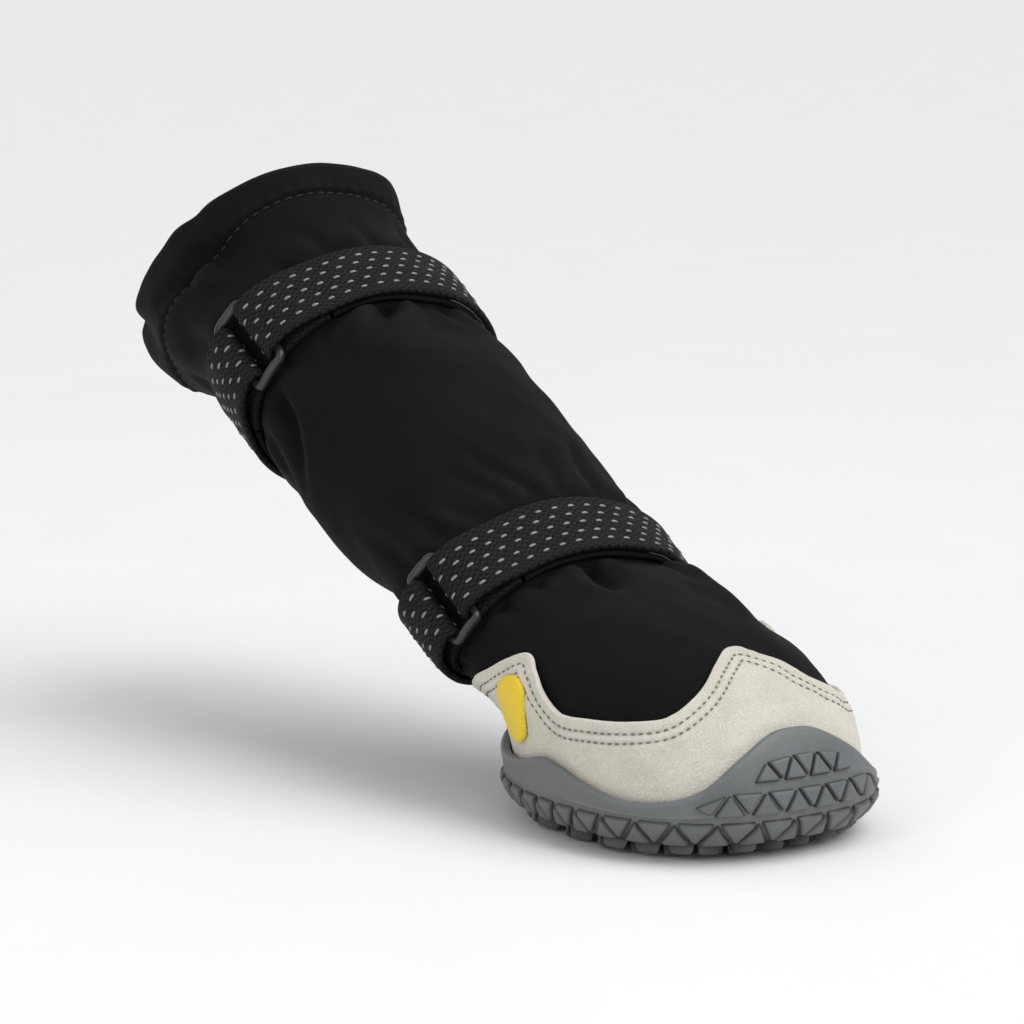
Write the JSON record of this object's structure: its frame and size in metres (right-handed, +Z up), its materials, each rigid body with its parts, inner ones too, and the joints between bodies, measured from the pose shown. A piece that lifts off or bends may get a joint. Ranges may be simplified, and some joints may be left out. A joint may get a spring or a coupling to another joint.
{
  "type": "dog boot",
  "caption": "Tall soft dog boot with a cupped rubber lug sole, suede foot guard, slack softshell shaft and webbing straps closed by side rings.",
  "frame": {"origin": "on the ground, at the middle lug under the middle of the sole", "axes": "+Z up, +Y from toe to heel, so the toe points to -Y and the boot's own right side to -X"},
  "size_m": [0.0685, 0.2178, 0.122],
  "materials": {
    "sole_rubber": "matt moulded rubber",
    "badge_rubber": "smooth domed rubber inlay",
    "insole_foam": "dense foam rubber with a brushed face",
    "softshell": "soft knit-faced stretch shell",
    "suede": "napped suede",
    "embroidery": "satin stitch",
    "webbing": "ribbed woven webbing with reflective dashes",
    "elastic": "ribbed elastic",
    "ring_plastic": "glossy moulded plastic"
  },
  "bodies": {
    "root": {"outsole": "sole_rubber", "sole_badge": "badge_rubber", "insole": "insole_foam", "upper": "softshell", "toe_guard": "suede", "wing_mark": "embroidery", "lower_strap_webbing": "webbing", "lower_strap_tab": "webbing", "lower_strap_elastic": "elastic", "lower_strap_ring": "ring_plastic", "upper_strap_webbing": "webbing", "upper_strap_tab": "webbing", "upper_strap_elastic": "elastic", "upper_strap_ring": "ring_plastic"}
  },
  "joints": []
}
